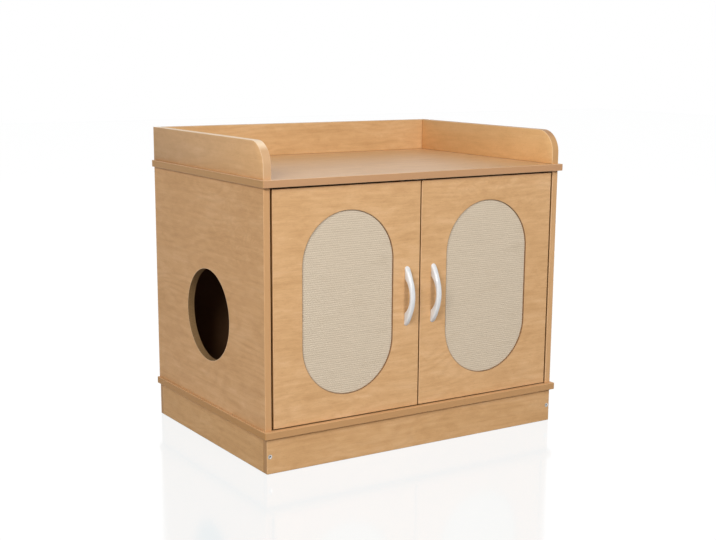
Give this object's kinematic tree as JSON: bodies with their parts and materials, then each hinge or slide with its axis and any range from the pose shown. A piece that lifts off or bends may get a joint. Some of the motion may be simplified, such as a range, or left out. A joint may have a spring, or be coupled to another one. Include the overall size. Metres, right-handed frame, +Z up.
{
  "type": "cat litter box cabinet",
  "caption": "Low wood cabinet with inset doors that hides a litter box, with a round cat hole in its side, scratching mats in its doors and a gallery round its top.",
  "frame": {"origin": "on the floor, under the middle of the cabinet's outline, handles included", "axes": "+X to the right as seen from the front, +Y to the back, +Z up; the doors face -Y"},
  "size_m": [0.771, 0.552, 0.679],
  "materials": {
    "beech_board": "satin beech grain foil on particle board",
    "hardboard": "beech grain print, matt",
    "sisal_mat": "woven sisal, cross ribs",
    "white_handle": "satin white",
    "plated_steel": "nickel plated",
    "cast_cam": "cast zinc, dull",
    "catch_plastic": "moulded",
    "magnet": "ferrite block with steel faces"
  },
  "bodies": {
    "root": {"plinth_front": "beech_board", "plinth_back": "beech_board", "plinth_left": "beech_board", "plinth_right": "beech_board", "plinth_screw_front_left": "plated_steel", "plinth_screw_front_right": "plated_steel", "plinth_screw_back_left": "plated_steel", "plinth_screw_back_right": "plated_steel", "bottom_board": "beech_board", "top_board": "beech_board", "left_side": "beech_board", "right_side": "beech_board", "back_panel": "hardboard", "gallery_left": "beech_board", "gallery_right": "beech_board", "gallery_back": "beech_board", "cam_left_bottom_front": "cast_cam", "cam_left_bottom_back": "cast_cam", "cam_left_top_front": "cast_cam", "cam_left_top_back": "cast_cam", "cam_right_bottom_front": "cast_cam", "cam_right_bottom_back": "cast_cam", "cam_right_top_front": "cast_cam", "cam_right_top_back": "cast_cam", "hinge_left_lower_plate": "plated_steel", "hinge_left_upper_plate": "plated_steel", "hinge_right_lower_plate": "plated_steel", "hinge_right_upper_plate": "plated_steel", "hinge_left_lower_arm": "plated_steel", "hinge_left_upper_arm": "plated_steel", "hinge_right_lower_arm": "plated_steel", "hinge_right_upper_arm": "plated_steel", "catch_housing": "catch_plastic", "catch_magnet_left": "magnet", "catch_magnet_right": "magnet"},
    "left_door": {"left_door": "beech_board", "left_scratch_mat": "sisal_mat", "left_handle": "white_handle", "left_handle_screw_lower": "plated_steel", "left_handle_screw_upper": "plated_steel", "left_strike_plate": "plated_steel", "hinge_left_lower_cup": "plated_steel", "hinge_left_upper_cup": "plated_steel", "hinge_left_lower_pin": "plated_steel", "hinge_left_upper_pin": "plated_steel"},
    "right_door": {"right_door": "beech_board", "right_scratch_mat": "sisal_mat", "right_handle": "white_handle", "right_handle_screw_lower": "plated_steel", "right_handle_screw_upper": "plated_steel", "right_strike_plate": "plated_steel", "hinge_right_lower_cup": "plated_steel", "hinge_right_upper_cup": "plated_steel", "hinge_right_lower_pin": "plated_steel", "hinge_right_upper_pin": "plated_steel"}
  },
  "joints": [
    {"name": "left_door_swing", "type": "hinge", "parent": "root", "child": "left_door", "pos_m": [-0.348, -0.241, 0.339], "axis": [0, 0, -1], "range_deg": [0, 95]},
    {"name": "right_door_swing", "type": "hinge", "parent": "root", "child": "right_door", "pos_m": [0.348, -0.241, 0.339], "axis": [0, 0, 1], "range_deg": [0, 95]}
  ]
}
